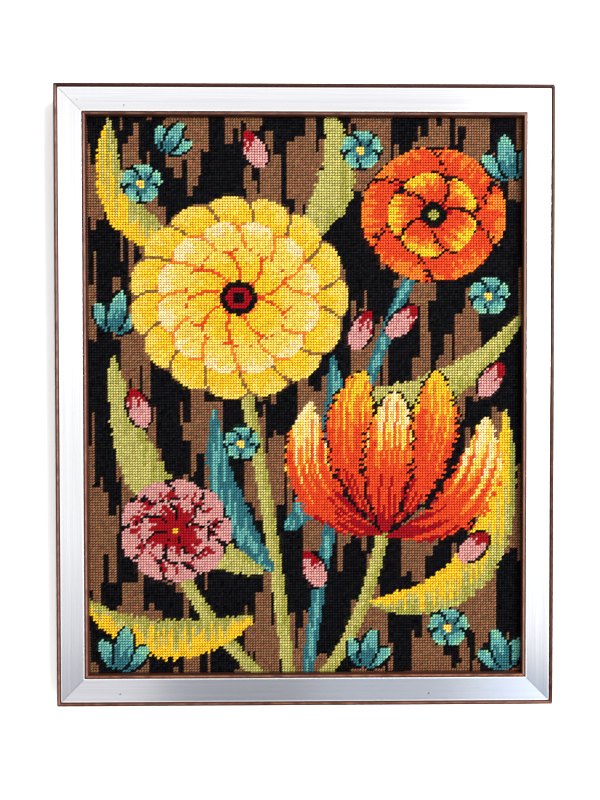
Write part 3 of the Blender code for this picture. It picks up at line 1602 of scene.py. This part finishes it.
@dataclass
class Studio:
    """White wall, pale floor, soft light from the right, and the camera."""

    wall_gap: float = 0.0035  # behind the panel's middle
    wall_lean: float = 0.49  # degrees, since a hung panel leans out at its top
    wall_size: Point = (5.0, 2.4)
    wall_cover: float = 0.012  # how far in from the panel's outline the wall still goes
    backdrop_radius: float = 12.0
    floor_drop: float = 0.25  # from the panel's foot
    floor_size: float = 40.0
    camera_place: Triple = (-0.0105, -0.6087, -0.2768)
    camera_turn: Triple = (-0.519, -0.825, 0.061)  # yaw, pitch, roll
    lens: float = 28.0
    key_angle: float = 48.0  # degrees to the right of straight in front
    key_rise: float = 17.0
    key_distance: float = 1.9
    key_size: Point = (1.35, 1.2)
    key_power: float = 115.0
    key_colour: Colour = (1.0, 0.985, 0.96)

    @property
    def floor_height(self) -> float:
        """Where the floor lies."""
        return CAD_LOW.z - self.floor_drop

    def build_wall(self) -> None:
        """A white wall that shows only from its front."""
        sketch = plain_paint("wall_white", (0.92, 0.92, 0.92))
        clear = sketch.add("ShaderNodeBsdfTransparent").outputs[0]
        behind = sketch.add("ShaderNodeNewGeometry").outputs["Backfacing"]
        either = sketch.add("ShaderNodeMixShader", {0: behind, 1: sketch.shader.outputs[0], 2: clear})
        sketch.feed(sketch.tree.nodes["Material Output"], {"Surface": either.outputs[0]})
        height = self.floor_height + self.wall_size[1] / 2
        gap = self.wall_gap + (height - CENTRE_HEIGHT) * math.tan(math.radians(self.wall_lean))
        shape = sheet_shape(self.wall_size, Vector((0, gap, height)), 90.0 - self.wall_lean)
        self.open_behind(shape)
        staged("wall", shape, sketch.material)

    def open_behind(self, shape: Shape) -> None:
        """Leave the wall out where the panel hides it, so that nothing of it shows from beside.

        Args:
            shape: the whole wall.
        """
        inside = self.wall_cover
        for place, away in (
            (CAD_LOW.x + inside, (-1, 0, 0)),
            (CAD_HIGH.x - inside, (1, 0, 0)),
            (CAD_LOW.z + inside, (0, 0, -1)),
            (CAD_HIGH.z - inside, (0, 0, 1)),
        ):
            geometry = [*shape.verts, *shape.edges, *shape.faces]
            cut = Vector(tuple(abs(part) * place for part in away))
            bmesh.ops.bisect_plane(shape, geom=geometry, plane_co=cut, plane_no=away)
        middle = Vector((0, 0, CENTRE_HEIGHT))
        hidden = min(shape.faces, key=lambda face: (face.calc_center_median() - middle).xz.length)
        bmesh.ops.delete(shape, geom=[hidden], context="FACES")

    def build_backdrop(self) -> None:
        """A pale round backdrop behind all other views, which lights nothing."""
        shape = bmesh.new()
        bmesh.ops.create_uvsphere(shape, u_segments=64, v_segments=32, radius=self.backdrop_radius)
        bmesh.ops.reverse_faces(shape, faces=shape.faces)
        staged("backdrop", shape, plain_paint("backdrop_pale", (0.86, 0.86, 0.85)).material)

    def build_floor(self) -> None:
        """A pale floor well under the panel."""
        sketch = plain_paint("floor_pale", (0.72, 0.715, 0.70), 0.9, 0.1)
        shape = sheet_shape((self.floor_size,) * 2, Vector((0, 0, self.floor_height)), 0.0)
        staged("floor", shape, sketch.material, camera_only=False)

    def build_light(self) -> None:
        """A large soft lamp to the right."""
        angle, rise = math.radians(self.key_angle), math.radians(self.key_rise)
        level = Vector((math.sin(angle), -math.cos(angle), 0)) * math.cos(rise)
        toward = level + Vector((0, 0, math.sin(rise)))
        lamp = bpy.data.lights.new("key", "AREA")
        lamp.shape = "RECTANGLE"
        lamp.size, lamp.size_y = self.key_size
        lamp.energy = self.key_power
        lamp.color = self.key_colour
        key = placed("key", lamp)
        key.location = Vector((0, 0, CENTRE_HEIGHT)) + toward * self.key_distance
        key.rotation_euler = toward.to_track_quat("Z", "Y").to_euler()

    def build_room(self) -> None:
        """A pale room that is dimmer low down, as light that comes from each direction."""
        sketch = RoomSketch("room")
        height = sketch.measure("DOT_PRODUCT", (0.0, 0.0, 1.0))
        light = ROOM_LOW
        for low, high, shade in ROOM_SHADES:
            light = sketch.blend(sketch.spread(height, (low, high)), light, shade)
        sideways = sketch.measure("DOT_PRODUCT", (1.0, 0.0, 0.0))
        for band in ROOM_BANDS:
            share = sketch.spread(height, BAND_TOP, (1.0, 0.0))
            for edge, ends in ((band.left, (0.0, 1.0)), (band.right, (1.0, 0.0))):
                fade = sketch.spread(sideways, (edge - BAND_FADE, edge + BAND_FADE), ends)
                share = sketch.maths("MULTIPLY", share, fade)
            light = sketch.blend(share, light, band.light)
        for patch in ROOM_PATCHES:
            distance = sketch.measure("DISTANCE", patch.toward)
            share = sketch.spread(distance, (patch.core, patch.rim), (1.0, 0.0))
            light = sketch.blend(share, light, patch.light)
        sketch.set(Color=light)
        bpy.context.scene.world = sketch.world

    def build_camera(self) -> None:
        """The camera where the photograph was taken from."""
        camera = bpy.data.cameras.new("camera")
        camera.lens = self.lens
        camera.clip_start = 0.02
        yaw, pitch, roll = (math.radians(angle) for angle in self.camera_turn)
        turn = Matrix.Rotation(yaw, 4, "Z") @ Matrix.Rotation(pitch, 4, "X")
        turn @= Matrix.Rotation(roll, 4, "Y") @ Matrix.Rotation(math.pi / 2, 4, "X")
        eye = placed("camera", camera)
        eye.matrix_world = Matrix.Translation(self.camera_place) @ turn
        bpy.context.scene.camera = eye

    def build(self) -> None:
        """Set up the whole studio."""
        self.build_wall()
        self.build_floor()
        self.build_backdrop()
        self.build_light()
        self.build_room()
        self.build_camera()
        bpy.context.scene.view_settings.view_transform = "Standard"


def main() -> None:
    """Build the studio and the panel's pieces, and report each piece."""
    logging.basicConfig(level=logging.INFO, format="%(message)s")
    Studio().build()
    bars, strips = Frame().build()
    canvas = Canvas()
    stitching = Stitching(Chart().draw(), canvas)
    ground = canvas.build(stitching.chart, stitching.pitch)
    wools = stitching.build()
    for piece in (*bars, *strips, ground, *wools):
        LOG.info("%s: %d faces", piece.name, len(piece.data.polygons))


if __name__ == "__main__":
    main()
